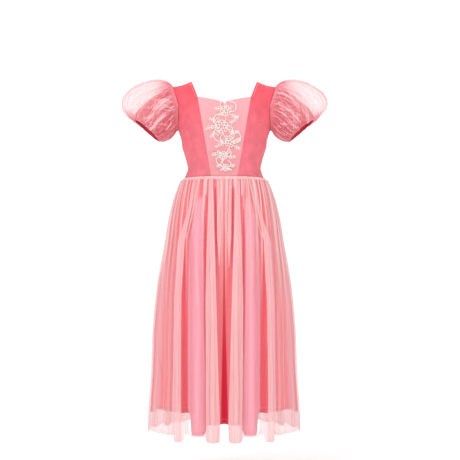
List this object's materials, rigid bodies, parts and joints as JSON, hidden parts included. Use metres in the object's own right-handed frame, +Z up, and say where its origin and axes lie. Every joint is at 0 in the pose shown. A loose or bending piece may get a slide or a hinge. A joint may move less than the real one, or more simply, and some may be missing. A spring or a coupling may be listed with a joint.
{
  "type": "princess costume dress",
  "caption": "Child's princess costume dress with a coral velvet bodice, satin and lace front panel, net puff sleeves and a long net skirt over a pink lining.",
  "frame": {"origin": "midway between the shoulders, on the line along the two shoulder seams where the wearer's shoulders hold the dress up", "axes": "+Z up from the hem to the shoulders, -Y out of the front, +X to the wearer's left"},
  "size_m": [0.547, 0.357, 0.9229],
  "materials": {
    "coral_velvet": "stretch velvet with a short nap",
    "pink_satin": "matt satin",
    "coral_under_sleeve": "plain weave",
    "pale_net": "soft nylon net, gathered",
    "pink_lining": "soft satin lining",
    "peach_net": "soft nylon net, gathered",
    "corded_lace": "corded lace"
  },
  "bodies": {
    "root": {"bodice_front_centre": "pink_satin", "bodice_front_left": "coral_velvet", "bodice_front_right": "coral_velvet", "bodice_back": "coral_velvet", "sleeve_base_left": "coral_under_sleeve", "sleeve_base_right": "coral_under_sleeve", "sleeve_net_left": "pale_net", "sleeve_net_right": "pale_net", "skirt_lining_front": "pink_lining", "skirt_lining_back": "pink_lining", "skirt_net_front_left": "peach_net", "skirt_net_front_right": "peach_net", "skirt_net_back": "peach_net", "lace_applique": "corded_lace"}
  },
  "joints": []
}
